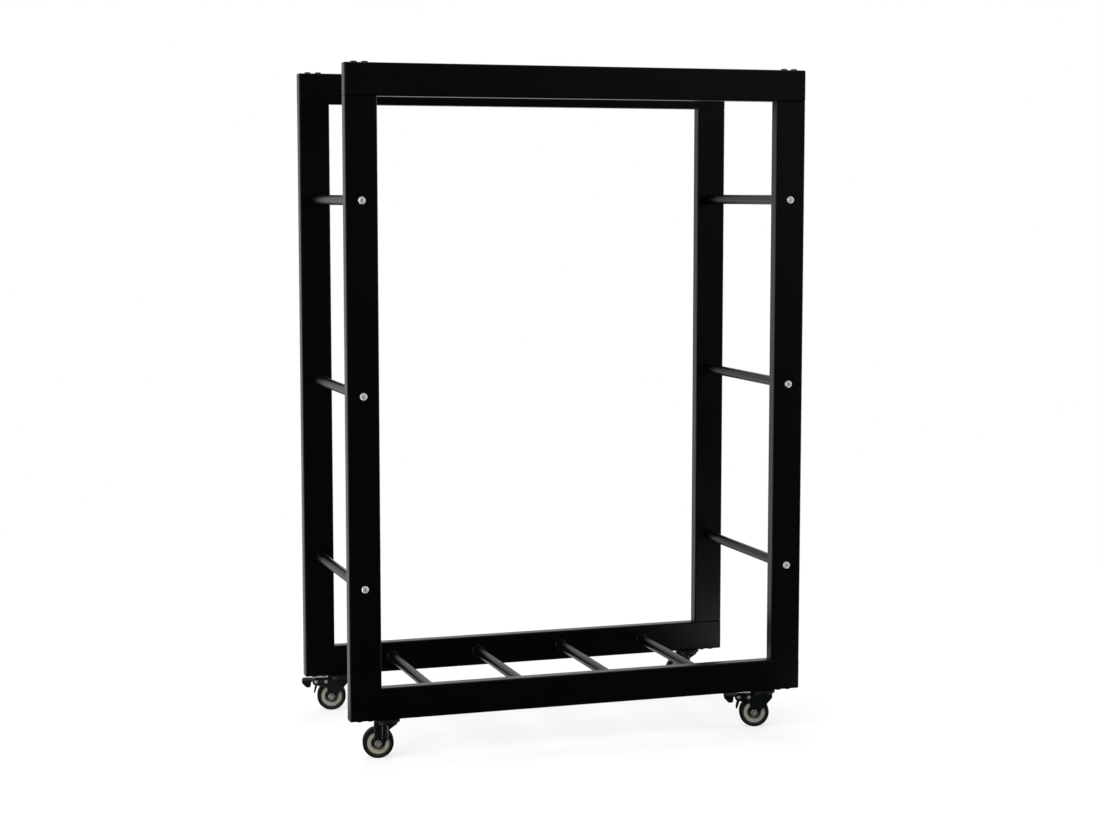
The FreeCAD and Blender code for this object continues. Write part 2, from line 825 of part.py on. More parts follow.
def make_axle_nut(caster):
    """Locking nut on the outer end of the axle: hexagon with a round collar."""
    body = new_body(f"{caster.name}_axle_nut")
    thread = "axle_size + 2 * thread_gap"
    flats = sketch_on(body, "XZ_Plane", LEG_OUTSIDE)
    add_outline(flats, hexagon("axle_nut_width"))
    add_circle(flats, "0", "0", thread)
    pad(body, flats, "axle_nut_height")
    collar = sketch_on(body, "XZ_Plane", f"{LEG_OUTSIDE} + axle_nut_height")
    add_circle(collar, "0", "0", "axle_nut_width - 2 * push_gap")
    add_circle(collar, "0", "0", thread)
    pad(body, collar, "axle_nut_collar")
    place_on_axle(body, caster)


def make_axle_sleeve(caster):
    body = new_body(f"{caster.name}_axle_sleeve")
    section = sketch_on(body, "XZ_Plane")
    add_circle(section, "0", "0", "sleeve_diameter")
    add_circle(section, "0", "0", "axle_size + 2 * running_gap")
    pad(body, section, f"2 * {LEG_INSIDE}", symmetric=True)
    place_on_axle(body, caster)


def mirrored(half):
    """Whole profile from its lower half, which is listed from the axis outwards."""
    upper = [Corner(corner.x, f"-({corner.y})", corner.radius) for corner in reversed(half)]
    return half + upper


def make_wheel_core(caster):
    body = new_body(f"{caster.name}_wheel_core")
    bore = "sleeve_diameter / 2 + running_gap"
    profile = sketch_on(body, "XY_Plane")
    add_outline(profile, mirrored([
        Corner(bore, "-hub_width / 2"),
        Corner("hub_diameter / 2", "-hub_width / 2"),
        Corner("hub_diameter / 2", "-web_sheet / 2"),
        Corner("recess_diameter / 2", "-web_sheet / 2"),
        Corner("recess_diameter / 2", "-rim_width / 2", "rim_round"),
        Corner("rim_diameter / 2", "-rim_width / 2"),
        Corner("rim_diameter / 2", "-key_width / 2"),
        Corner("rim_diameter / 2 + key_height", "-key_width / 2"),
    ]))
    revolve(body, profile)
    place_on_axle(body, caster)


def make_tyre(caster):
    body = new_body(f"{caster.name}_tyre")
    seat = "(rim_diameter / 2 + push_gap)"
    groove_side = "-(key_width / 2 + push_gap)"
    profile = sketch_on(body, "XY_Plane")
    outer = mirrored([
        Corner(seat, "-rim_width / 2"),
        Corner("tyre_bead", "-rim_width / 2"),
        Corner("tyre_bead + bead_step", "-wheel_width / 2"),
        Corner("wheel_diameter / 2", "-wheel_width / 2", "tyre_shoulder"),
    ])
    inner = [
        Corner(seat, f"-({groove_side})"),
        Corner(f"{seat} + key_height", f"-({groove_side})"),
        Corner(f"{seat} + key_height", groove_side),
        Corner(seat, groove_side),
    ]
    add_outline(profile, outer + inner)
    revolve(body, profile)
    place_on_axle(body, caster)


# Brakes

def make_brake_lever(caster):
    """Foot lever: hollow toe, arm and hub, with a tab that swings against the tyre."""
    body = new_body(f"{caster.name}_brake_lever")

    def toe_corner(back, rise, radius="0"):
        return Corner(f"{PIVOT_X} - ({back})", f"{PIVOT_Z} + {rise}", radius)

    toe = sketch_on(body, "XZ_Plane")
    add_outline(toe, [
        toe_corner("toe_reach", "-toe_nose", "toe_round"),
        toe_corner("toe_sole", "-toe_drop", "toe_round"),
        toe_corner("toe_heel", "-toe_drop", "toe_round"),
        toe_corner("toe_start", "toe_crest"),
        toe_corner("toe_reach - toe_sheet", "toe_crest", "toe_round"),
    ])
    pad(body, toe, "toe_width", symmetric=True)
    hollow = sketch_on(body, "XZ_Plane")
    add_outline(hollow, [
        toe_corner("toe_reach - 2 * toe_sheet", "-toe_nose"),
        toe_corner("toe_sole - toe_sheet", "-(toe_drop + toe_sheet)"),
        toe_corner("toe_heel + toe_sheet", "-(toe_drop + toe_sheet)"),
        toe_corner("toe_start + toe_sheet", "toe_crest - toe_sheet"),
        toe_corner("toe_reach - 2 * toe_sheet", "toe_crest - toe_sheet"),
    ])
    cut(body, hollow, "toe_width - 2 * toe_sheet")
    tab_face = "(-trail - wheel_diameter / 2 - brake_gap)"
    tab_end = f"tab_rise - {AXLE_DROP}"
    arm_end = f"{PIVOT_X} - arm_reach"
    arm_under = f"{PIVOT_Z} + arm_top - arm_sheet"
    arm = sketch_on(body, "XZ_Plane")
    add_outline(arm, [
        Corner(tab_face, tab_end),
        Corner(PIVOT_X, PIVOT_Z, "lever_hub / 2", True),
        Corner(arm_end, f"{PIVOT_Z} + arm_top"),
        Corner(arm_end, arm_under),
        Corner(f"{PIVOT_X} - tab_root", arm_under),
        Corner(f"{PIVOT_X} - tab_neck", f"{PIVOT_Z} - tab_neck_drop"),
        Corner(f"{tab_face} - tab_sheet", tab_end),
    ])
    pad(body, arm, "lever_width", symmetric=True)
    bore = sketch_on(body, "XZ_Plane")
    add_circle(bore, PIVOT_X, PIVOT_Z, "pin_size + 2 * running_gap")
    cut(body, bore)
    place_on_caster(body, caster)
    parts.append(body)


def make_brake_pin():
    """Rivet pin along Y with a domed head at each end."""
    pin = new_body("brake_pin")
    profile = sketch_on(pin, "XY_Plane")
    add_outline(profile, mirrored([
        Corner("0", f"-({LEG_OUTSIDE} + pin_head_height)"),
        Corner("pin_head / 2", f"-({LEG_OUTSIDE} + pin_head_height)", "pin_head_round"),
        Corner("pin_head / 2", f"-{LEG_OUTSIDE}"),
        Corner("pin_size / 2", f"-{LEG_OUTSIDE}"),
    ]))
    revolve(pin, profile)
    return pin


def make_brake_pins(caster, pin):
    copies = []
    for x in (PIVOT_X, STOP_X):
        link = copy_of(pin)
        place_on_caster(link, caster, x=x, z=PIVOT_Z)
        copies.append(link)
    group(f"{caster.name}_brake_pins", copies)


def make_brake_spring(caster):
    """Leaf held by an eye on the stop pin, its free end at the lever hub."""
    body = new_body(f"{caster.name}_brake_spring")
    eye_bore = "(pin_size + 2 * running_gap)"
    eye = sketch_on(body, "XZ_Plane")
    add_circle(eye, STOP_X, PIVOT_Z, f"{eye_bore} + 2 * leaf_sheet")
    add_circle(eye, STOP_X, PIVOT_Z, eye_bore)
    pad(body, eye, "leaf_width", symmetric=True)
    leaf = sketch_on(body, "XZ_Plane")
    leaf_under = f"{PIVOT_Z} + {eye_bore} / 2"
    leaf_top = f"{leaf_under} + leaf_sheet"
    add_outline(leaf, [
        Corner(f"{PIVOT_X} + lever_hub / 2", leaf_under),
        Corner(STOP_X, leaf_under),
        Corner(STOP_X, leaf_top),
        Corner(f"{PIVOT_X} + lever_hub / 2", leaf_top),
    ])
    pad(body, leaf, "leaf_width", symmetric=True)
    place_on_caster(body, caster)
    parts.append(body)


def make_casters():
    make_caster_nuts()
    make_caster_stems()
    make_caster_cups()
    make_caster_balls()
    pin = make_brake_pin()
    for caster in CASTERS:
        make_fork(caster)
        make_axle_bolt(caster)
        make_axle_nut(caster)
        make_axle_sleeve(caster)
        make_wheel_core(caster)
        make_tyre(caster)
        if caster.braked:
            make_brake_lever(caster)
            make_brake_pins(caster, pin)
            make_brake_spring(caster)


def check_and_write():
    """Stop on any failed object, then write each sub-part."""
    doc.recompute()
    for item in doc.Objects:
        if {"Invalid", "Error"} & set(item.State):
            raise RuntimeError(f"{item.Label} failed: {item.State}")
    for part in parts:
        shape = part.Shape
        if shape.isNull() or not shape.isValid() or not shape.Solids:
            raise RuntimeError(f"{part.Label} has no valid solid")
    os.makedirs("parts", exist_ok=True)
    for part in parts:
        part.Shape.exportStep(f"parts/{part.Label}.step")


make_frame()
make_end_caps()
make_post_plugs()
make_bar_inserts()
make_bar_bolts()
make_rail_screws()
make_casters()
check_and_write()
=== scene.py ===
import json
import math

import bmesh
import bpy
from bpy.props import FloatProperty, FloatVectorProperty, IntProperty, PointerProperty
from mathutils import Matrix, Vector


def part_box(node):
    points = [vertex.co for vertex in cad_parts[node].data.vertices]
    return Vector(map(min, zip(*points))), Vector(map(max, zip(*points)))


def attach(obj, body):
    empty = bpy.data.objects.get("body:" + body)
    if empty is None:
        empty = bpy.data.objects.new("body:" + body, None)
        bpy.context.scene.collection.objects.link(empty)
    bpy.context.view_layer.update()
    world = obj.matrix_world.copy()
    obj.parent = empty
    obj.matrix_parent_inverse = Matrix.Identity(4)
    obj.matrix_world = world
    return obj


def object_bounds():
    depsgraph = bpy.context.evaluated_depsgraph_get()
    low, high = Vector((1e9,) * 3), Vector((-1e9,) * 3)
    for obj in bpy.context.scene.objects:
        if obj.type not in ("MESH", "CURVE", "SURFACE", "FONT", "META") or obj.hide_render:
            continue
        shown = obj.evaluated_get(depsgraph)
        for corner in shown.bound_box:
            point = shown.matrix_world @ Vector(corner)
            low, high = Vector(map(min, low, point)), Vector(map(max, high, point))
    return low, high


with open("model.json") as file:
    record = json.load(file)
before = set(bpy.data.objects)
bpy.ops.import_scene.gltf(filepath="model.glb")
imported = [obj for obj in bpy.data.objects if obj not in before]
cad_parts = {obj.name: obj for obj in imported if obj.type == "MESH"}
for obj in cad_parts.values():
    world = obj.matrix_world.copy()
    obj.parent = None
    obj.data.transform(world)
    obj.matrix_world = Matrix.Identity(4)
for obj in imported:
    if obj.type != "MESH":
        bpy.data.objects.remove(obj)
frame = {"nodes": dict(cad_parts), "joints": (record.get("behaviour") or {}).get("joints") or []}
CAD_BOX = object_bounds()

bl_info = {
    "name": "Firewood Rack",
    "version": (1, 0, 0),
    "blender": (4, 5, 0),
    "location": "View3D > Sidebar > Rack",
    "description": "Finishes, weld beads and a studio stage for a firewood rack on casters",
    "category": "Object",
}

WHITE = (1, 1, 1)

# Nodes of the frame

CORNERS = ("front_left", "front_right", "rear_left", "rear_right")
BASE_BARS = sorted(name for name in frame["nodes"] if name.startswith("base_bar"))
INSIDE_PIECES = ["post_end_plugs", "bar_inserts", "caster_nuts", "caster_stems", "caster_balls"]
AXLES = {joint["child"]: joint for joint in frame["joints"] if joint["child"].endswith("_wheel")}


def nodes_ending(*endings):
    """Names of the frame's nodes with one of these endings."""
    return sorted(name for name in frame["nodes"] if name.endswith(endings))


# Sizes and colours that a user would change

def colour_property(name, description, default):
    return FloatVectorProperty(
        name=name, description=description, subtype="COLOR", size=3, min=0, max=1, default=default
    )


def share_property(name, description, default):
    return FloatProperty(
        name=name, description=description, subtype="FACTOR", min=0, max=1, default=default
    )


def length_property(name, description, default):
    return FloatProperty(
        name=name, description=description, unit="LENGTH", subtype="DISTANCE", min=0, default=default
    )


def place_property(name, description, default):
    return FloatVectorProperty(
        name=name,
        description=description,
        unit="LENGTH",
        subtype="TRANSLATION",
        size=3,
        default=default,
    )


def power_property(name, description, default):
    return FloatProperty(
        name=name, description=description, unit="POWER", subtype="POWER", min=0, default=default
    )


class RackFrameSettings(bpy.types.PropertyGroup):
    """Finish of the box tube, bars, caps and fasteners, and the size of the welds."""

    paint: colour_property("Paint", "Powder coat on the box tube and the bars", (0.001, 0.001, 0.0011))
    paint_roughness: share_property("Paint roughness", "Blur of the powder coat's reflections", 0.305)
    paint_shine: share_property("Paint shine", "Strength of the powder coat's reflections", 0.25)
    peel: length_property("Peel", "Width of one dimple in the powder coat", 0.0014)
    cap: colour_property("End caps", "Moulded caps in the rail ends", (0.002, 0.002, 0.0021))
    zinc: colour_property("Bright zinc", "Plating on the bolts of the side bars", (0.84, 0.84, 0.82))
    dull_zinc: colour_property("Dull zinc", "Plating on the casters' fasteners", (0.5, 0.505, 0.485))
    nylon: colour_property("Nylon", "Ring in the collar of the locking nuts", (0.012, 0.012, 0.013))
    steel: colour_property("Plain steel", "Bare steel of the pieces inside", (0.56, 0.56, 0.55))
    oxide: colour_property("Black oxide", "Screws in the rails", (0.004, 0.004, 0.0045))
    weld_leg: length_property("Weld leg", "Height of the weld beads on the base bars", 0.0035)
    weld_ripples: IntProperty(
        name="Weld ripples", description="Ripples round one weld bead", min=3, default=18
    )


class RackCasterSettings(bpy.types.PropertyGroup):
    """Finish of the casters and brakes."""

    fork: colour_property("Fork paint", "Dip coat on the forks and cups", (0.0024, 0.0044, 0.0037))
    brake: colour_property("Brake paint", "Moulded brake levers", (0.0028, 0.0034, 0.0033))
    rim: colour_property("Rim", "Moulded wheel core", (0.25, 0.24, 0.19))
    # Painted shade: the dark colour painted on the wheel core round the hub, in its recess
    recess_shade: colour_property("Rim recess", "Wheel core round the hub", (0.018, 0.0175, 0.015))
    rubber: colour_property("Tyre", "Rubber of the tyres", (0.003, 0.003, 0.0029))
    scuff: colour_property("Tyre scuff", "Rubbed rubber on the tread", (0.009, 0.0088, 0.0083))
    # Painted highlight: the tyre bead colour is a lighter ring painted where the bead's step catches
    # the light, not rubbed rubber
    bead: colour_property("Tyre bead", "Rubbed ring on the tyre's side", (0.04, 0.039, 0.036))


class RackStageSettings(bpy.types.PropertyGroup):
    """Floor, light and camera."""

    floor: colour_property("Floor", "Paper under the rack", (0.9, 0.9, 0.9))
    floor_size: length_property("Floor size", "Side of the square floor", 60)
    floor_clear: length_property("Shadow reach", "Distance at which the floor is plain white", 2.4)
    floor_glow: share_property("Floor glow", "Share of the floor's white that takes no shadow", 0.66)
    ambient: share_property("Ambient", "Light from the room all round", 0.5)
    backdrop: share_property("Backdrop", "Brightness of the backdrop in reflections", 0.85)
    dark_side: share_property("Dark side", "Brightness of the room in front in reflections", 0.004)
    side_glow: share_property("Side glow", "How much brighter that room is on the right", 0.55)
    panels: FloatProperty(
        name="Side panels",
        description="Brightness of the panels at both sides in reflections",
        min=0,
        default=1.6,
    )
    key_power: power_property("Key lamp", "Large lamp above on the left", 95)
    back_power: power_property("Back lamp", "Large lamp above and behind", 60)
    front_power: power_property("Front lamp", "Small lamp in front on the left", 60)
    side_power: power_property("Side lamp", "Tall narrow lamp on the right", 25)
    camera: place_property("Camera", "Where the camera stands", (-1.1, -3.35, 0.867))
    target: place_property("Target", "Point in the middle of the picture", (0.004, 0.0, 0.509))
    lens: FloatProperty(
        name="Lens",
        description="Focal length",
        subtype="DISTANCE_CAMERA",
        unit="CAMERA",
        min=1,
        default=70.8,
    )


# Shader maths

PATTERN_MIDDLE = 0.5
EDGE_SAMPLES = 8

# Sockets of a Mix node that take and give colours
MIX_FIRST = 6
MIX_SECOND = 7
MIX_RESULT = 2


class Wire:
    """An output socket; a sum written with it adds Math nodes."""

    def __init__(self, shader, socket):
        self.shader = shader
        self.socket = socket

    def __add__(self, other):
        return self.shader.maths("ADD", self, other)

    __radd__ = __add__

    def __sub__(self, other):
        return self.shader.maths("SUBTRACT", self, other)

    def __rsub__(self, other):
        return self.shader.maths("SUBTRACT", other, self)

    def __mul__(self, other):
        return self.shader.maths("MULTIPLY", self, other)

    __rmul__ = __mul__

    def __truediv__(self, other):
        return self.shader.maths("DIVIDE", self, other)

    def __rtruediv__(self, other):
        return self.shader.maths("DIVIDE", other, self)


class Shader:
    """A node tree that is filled node by node."""

    def __init__(self, tree):
        self.tree = tree

    def node(self, kind, settings=None, sockets=None, output=0):
        """Add a node, set it up, feed its sockets and return one of its outputs."""
        made = self.tree.nodes.new(kind)
        for key, setting in (settings or {}).items():
            setattr(made, key, setting)
        for key, given in (sockets or {}).items():
            self.feed(made.inputs[key], given)
        return Wire(self, made.outputs[output])

    def feed(self, socket, given):
        """Link a wire to a socket, or set the socket to a plain value."""
        if isinstance(given, Wire):
            self.tree.links.new(given.socket, socket)
        else:
            socket.default_value = given

    def maths(self, operation, first, second):
        return self.node("ShaderNodeMath", {"operation": operation}, {0: first, 1: second})

    def axes(self, vector):
        """The three coordinates of a vector."""
        split = self.node("ShaderNodeSeparateXYZ", None, {0: vector}).socket.node
        return [Wire(self, socket) for socket in split.outputs]

    def length(self, vector):
        return self.node("ShaderNodeVectorMath", {"operation": "LENGTH"}, {0: vector}, "Value")

    def between(self, given, low, high):
        """Smooth step from 0 at low to 1 at high."""
        sockets = {"Value": given, "From Min": low, "From Max": high}
        return self.node("ShaderNodeMapRange", {"interpolation_type": "SMOOTHSTEP"}, sockets)

    def about(self, middle, *swings):
        """A value about a middle, which each pattern swings by its own amount."""
        for pattern, swing in swings:
            middle = middle + swing * (pattern - PATTERN_MIDDLE)
        return middle

    def mix(self, factor, first, second):
        """Colour between two colours."""
        colours = [given if isinstance(given, Wire) else (*given, 1) for given in (first, second)]
        sockets = {0: factor, MIX_FIRST: colours[0], MIX_SECOND: colours[1]}
        return self.node("ShaderNodeMix", {"data_type": "RGBA"}, sockets, MIX_RESULT)

    def ray(self, kind):
        """1 for rays of one kind, 0 for the others."""
        return self.node("ShaderNodeLightPath", output=f"Is {kind} Ray")


class Finish(Shader):
    """A new material whose patterns lie in the object's own coordinates."""

    def __init__(self, name):
        self.material = bpy.data.materials.new(name)
        self.material.use_nodes = True
        super().__init__(self.material.node_tree)
        self.surface = self.tree.nodes["Principled BSDF"]
        self.place = self.node("ShaderNodeTexCoord", output="Object")

    def set(self, name, given):
        self.feed(self.surface.inputs[name], given)

    def fed(self, name):
        """What feeds one of the surface's sockets so far."""
        return Wire(self, self.surface.inputs[name].links[0].from_socket)

    def cloud(self, size, detail, place=None):
        """Cloud pattern from 0 to 1 with lumps of this width."""
        sockets = {"Vector": place or self.place, "Scale": 1 / size, "Detail": detail}
        return self.node("ShaderNodeTexNoise", None, sockets, "Fac")

    def rings(self, radius, pitch, height):
        """Wave that goes round an axle, one ring to each pitch."""
        turns = radius * (2 * math.pi / pitch)
        return height * self.node("ShaderNodeMath", {"operation": "SINE"}, {0: turns})

    def stretched(self, scale):
        """Coordinates drawn out along one direction."""
        return self.node("ShaderNodeMapping", None, {"Vector": self.place, "Scale": scale})

    def centred(self, centre, turn):
        """Coordinates about a point, turned about the upright axis."""
        sockets = {"Vector": self.place, "Location": centre, "Rotation": (0, 0, turn)}
        return self.node("ShaderNodeMapping", {"vector_type": "TEXTURE"}, sockets)

    def shades(self, pattern, colour, darkest, lightest):
        """Colour between a darker and a lighter shade of one colour."""
        return self.mix(pattern, shade(colour, darkest), shade(colour, lightest))

    def bump(self, height, depth, edge_radius=None):
        """Uneven surface, with its edges rounded off where a radius is given."""
        sockets = {"Distance": depth, "Height": height}
        if edge_radius:
            settings = {"samples": EDGE_SAMPLES}
            sockets["Normal"] = self.node("ShaderNodeBevel", settings, {"Radius": edge_radius})
        self.set("Normal", self.node("ShaderNodeBump", None, sockets))


def shade(colour, times):
    """A colour made darker or lighter."""
    return tuple(min(1, channel * times) for channel in colour)


def grey(level):
    return (level, level, level)


def wear(finish, names):
    """Put a finish on nodes of the frame."""
    for name in names:
        slots = frame["nodes"][name].data.materials
        slots.clear()
        slots.append(finish.material)


# Finishes

PEEL_DEPTH = 0.03  # as a share of a dimple's width
BROWN_CAST = (1.7, 1.4, 1.1)

# Radius to which edges look rounded off
SHEET_EDGE = 0.0016
MOULDED_EDGE = 0.0008
METAL_EDGE = 0.0004


def powder_coat(name, settings):
    """Satin coat with fine orange peel, faint clouds and rubbed streaks."""
    finish = Finish(name)
    clouds = finish.cloud(size=0.09, detail=3)
    dimples = finish.cloud(size=settings.peel, detail=1)
    streaks = finish.cloud(size=0.012, detail=4, place=finish.stretched(scale=(1, 1, 0.08)))
    finish.set("Base Color", finish.shades(clouds, settings.paint, darkest=0.8, lightest=1.25))
    finish.set("Roughness", finish.about(settings.paint_roughness, (clouds, 0.08), (streaks, 0.05)))
    finish.set("Specular IOR Level", settings.paint_shine)
    finish.bump(dimples, depth=settings.peel * PEEL_DEPTH)
    return finish


def dip_coat(name, paint, roughness, shine):
    """Thin coat on pressed sheet, with runs, rolling marks and soft edges."""
    finish = Finish(name)
    clouds = finish.cloud(size=0.012, detail=3)
    runs = finish.cloud(size=0.004, detail=3, place=finish.stretched(scale=(1, 1, 0.25)))
    marks = finish.cloud(size=0.0011, detail=2)
    finish.set("Base Color", finish.shades(clouds, paint, darkest=0.75, lightest=1.4))
    finish.set("Roughness", finish.about(roughness, (runs, 0.12)))
    finish.set("Specular IOR Level", shine)
    finish.bump(marks, depth=0.00003, edge_radius=SHEET_EDGE)
    return finish


def moulded_plastic(name, colour, roughness, shine):
    """Moulded plastic with a spark-eroded grain."""
    finish = Finish(name)
    clouds = finish.cloud(size=0.02, detail=2)
    grain = finish.cloud(size=0.0006, detail=1)
    finish.set("Base Color", finish.shades(clouds, colour, darkest=0.8, lightest=1.2))
    finish.set("Roughness", finish.about(roughness, (clouds, 0.12)))
    finish.set("Specular IOR Level", shine)
    finish.bump(grain, depth=0.00003, edge_radius=MOULDED_EDGE)
    return finish


def bright_metal(name, colour, roughness, haze):
    """Plated or turned steel: cloudy, with fine drawn lines and a pale haze."""
    finish = Finish(name)
    clouds = finish.cloud(size=0.004, detail=3)
    lines = finish.cloud(size=0.0016, detail=3, place=finish.stretched(scale=(1, 0.15, 1)))
    finish.set("Metallic", 1 - haze * finish.about(1, (clouds, 0.5)))
    finish.set("Base Color", finish.shades(clouds, colour, darkest=0.85, lightest=1.1))
    finish.set("Roughness", finish.about(roughness, (clouds, 0.1), (lines, 0.08)))
    finish.bump(lines, depth=0.00001, edge_radius=METAL_EDGE)
    return finish


def black_oxide(name, colour):
    """Oiled black steel with a faint brown cast."""
    finish = Finish(name)
    clouds = finish.cloud(size=0.003, detail=3)
    grain = finish.cloud(size=0.0008, detail=1)
    brown = [channel * times for channel, times in zip(colour, BROWN_CAST)]
    finish.set("Base Color", finish.mix(clouds, colour, brown))
    finish.set("Roughness", finish.about(0.48, (clouds, 0.16)))
    finish.set("Specular IOR Level", 0.35)
    finish.bump(grain, depth=0.00001)
    return finish


# Finishes that go round an axle

NYLON_EDGE = (0.0042, 0.004)
# Width over which the painted shade round the hub fades out
RECESS_SHADE_FADE = 0.0007
TREAD_FADE = 0.0016

# Radii as shares of the tread's radius
# Edge of the painted shade round the hub
RECESS_SHADE_EDGE = 0.44
# Ring of painted highlight on the tyre's bead
BEAD_HIGHLIGHT_INSIDE = (0.77, 0.79)
BEAD_HIGHLIGHT_OUTSIDE = (0.83, 0.81)


def wheel_radius(finish, wheel):
    """Distance from one wheel's axle, and coordinates about that axle."""
    axle = AXLES[wheel]
    along = Vector(axle["axis"])
    local = finish.centred(axle["pos_m"], -math.atan2(along.x, along.y))
    flat = finish.node("ShaderNodeVectorMath", {"operation": "MULTIPLY"}, {0: local, 1: (1, 0, 1)})
    return finish.length(flat), local


def lock_nut(name, wheel, settings):
    """Plated nut with a ring of dark nylon in its collar."""
    finish = bright_metal(name, settings.dull_zinc, roughness=0.3, haze=0.22)
    radius, _ = wheel_radius(finish, wheel)
    insert = finish.between(radius, *NYLON_EDGE)
    finish.set("Base Color", finish.mix(insert, finish.fed("Base Color"), settings.nylon))
    finish.set("Metallic", finish.fed("Metallic") * (1 - insert))
    return finish


def wheel_core(name, wheel, settings, tread):
    """Moulded core: pale rim with fine turned rings, and painted shade round the hub."""
    finish = Finish(name)
    radius, local = wheel_radius(finish, wheel)
    clouds = finish.cloud(size=0.006, detail=3, place=local)
    grain = finish.cloud(size=0.0007, detail=1, place=local)
    edge = tread * RECESS_SHADE_EDGE
    # Painted shade: the core is painted dark inside this radius, where the recess lies in shade
    rim = finish.between(radius, edge - RECESS_SHADE_FADE, edge)
    pale = finish.shades(clouds, settings.rim, darkest=0.86, lightest=1.1)
    finish.set("Base Color", finish.mix(rim, settings.recess_shade, pale))
    finish.set("Roughness", finish.about(0.47, (clouds, 0.14)))
    finish.bump(finish.rings(radius, pitch=0.0012, height=0.3) + grain, depth=0.00002)
    return finish


def tyre_rubber(name, wheel, settings, tread):
    """Smooth rubber, rubbed grey where it rolls, with a painted highlight on the bead ring and faint
    moulding rings.
    """
    finish = Finish(name)
    radius, local = wheel_radius(finish, wheel)
    clouds = finish.cloud(size=0.005, detail=4, place=local)
    grain = finish.cloud(size=0.0009, detail=2, place=local)
    rolled = finish.between(radius, tread - TREAD_FADE, tread) * clouds
    share = radius / tread
    # Painted highlight: a lighter ring on the bead, where its step catches the light
    bead = finish.between(share, *BEAD_HIGHLIGHT_INSIDE) * finish.between(share, *BEAD_HIGHLIGHT_OUTSIDE)
    side = finish.mix(bead * finish.about(1, (clouds, 1)), settings.rubber, settings.bead)
    finish.set("Base Color", finish.mix(rolled, side, settings.scuff))
    finish.set("Roughness", finish.about(0.61, (clouds, 0.1), (rolled, 0.2)))
    finish.set("Specular IOR Level", 0.15)
    finish.bump(finish.rings(radius, pitch=0.0017, height=0.4) + grain, depth=0.00003)
    return finish


# Pieces

class RACK_OT_finish_frame(bpy.types.Operator):
    """Coat the posts, rails and bars"""

    bl_idname = "rack.finish_frame"
    bl_label = "Frame"

    def execute(self, context):
        coat = powder_coat("frame_powder_coat", context.scene.rack_frame)
        wear(coat, nodes_ending("_post", "_rail", "_bar") + BASE_BARS)
        return {"FINISHED"}


class RACK_OT_finish_caps(bpy.types.Operator):
    """Finish the moulded caps in the rail ends"""

    bl_idname = "rack.finish_caps"
    bl_label = "End caps"

    def execute(self, context):
        cap = context.scene.rack_frame.cap
        wear(moulded_plastic("end_cap_plastic", cap, roughness=0.32, shine=0.25), ["rail_end_caps"])
        return {"FINISHED"}


class RACK_OT_finish_fasteners(bpy.types.Operator):
    """Finish bolts, screws, nuts, pins and the steel pieces inside"""

    bl_idname = "rack.finish_fasteners"
    bl_label = "Fasteners"

    def execute(self, context):
        settings = context.scene.rack_frame
        zinc = bright_metal("bright_zinc", settings.zinc, roughness=0.22, haze=0.36)
        wear(zinc, ["bar_bolts"])
        dull = bright_metal("dull_zinc", settings.dull_zinc, roughness=0.3, haze=0.26)
        wear(dull, nodes_ending("_axle_bolt", "_brake_pins"))
        for corner in CORNERS:
            nut = lock_nut(f"{corner}_lock_nut", f"{corner}_wheel", settings)
            wear(nut, [f"{corner}_axle_nut"])
        steel = bright_metal("plain_steel", settings.steel, roughness=0.34, haze=0.1)
        wear(steel, INSIDE_PIECES + nodes_ending("_axle_sleeve", "_brake_spring"))
        wear(black_oxide("black_oxide", settings.oxide), ["rail_screws"])
        return {"FINISHED"}


class RACK_OT_add_welds(bpy.types.Operator):
    """Lay a rippled weld bead round both ends of each base bar"""

    bl_idname = "rack.add_welds"
    bl_label = "Welds"

    def execute(self, context):
        settings = context.scene.rack_frame
        beads = bmesh.new()
        for name in BASE_BARS:
            low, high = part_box(name)
            middle = (low + high) / 2
            for end, inward in ((low.y, 1), (high.y, -1)):
                foot = Vector((middle.x, end, middle.z))
                add_weld(beads, foot, inward, (high.x - low.x) / 2, settings)
        bmesh.ops.recalc_face_normals(beads, faces=beads.faces)
        mesh = bpy.data.meshes.new("base_welds")
        beads.to_mesh(mesh)
        beads.free()
        mesh.shade_smooth()
        mesh.materials.append(powder_coat("weld_powder_coat", settings).material)
        piece = bpy.data.objects.new("base_welds", mesh)
        context.scene.collection.objects.link(piece)
        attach(piece, "rack")
        return {"FINISHED"}


# Sizes of a weld bead as shares of its leg, and its steps

WELD_SINK = 0.1
WELD_CREST = (0.62, 0.4)
RIPPLE_HEIGHT = 0.07
STEPS_PER_RIPPLE = 4


def add_weld(mesh, foot, inward, bar_radius, settings):
    """One bead in the corner between a bar's end and the rail."""
    leg = settings.weld_leg
    sink = leg * WELD_SINK
    far, near = (leg * share for share in WELD_CREST)
    section = ((-sink, -sink), (leg, -sink), (far, near), (near, far), (-sink, leg))
    corners = [
        mesh.verts.new(foot + Vector((bar_radius + out, inward * along, 0)))
        for out, along in section
    ]
    loop = [mesh.edges.new(pair) for pair in zip(corners, corners[1:] + corners[:1])]
    before = set(mesh.verts) - set(corners)
    bmesh.ops.spin(
        mesh,
        geom=corners + loop,
        cent=foot,
        axis=(0, 1, 0),
        angle=2 * math.pi,
        steps=settings.weld_ripples * STEPS_PER_RIPPLE,
        use_merge=True,
    )
    for vert in set(mesh.verts) - before:
        arm = vert.co - foot
        outside = math.hypot(arm.x, arm.z) - bar_radius
        if outside > sink and abs(arm.y) > sink:
            wave = math.cos(math.atan2(arm.z, arm.x) * settings.weld_ripples)
            vert.co += Vector((arm.x, 0, arm.z)).normalized() * (wave * leg * RIPPLE_HEIGHT)


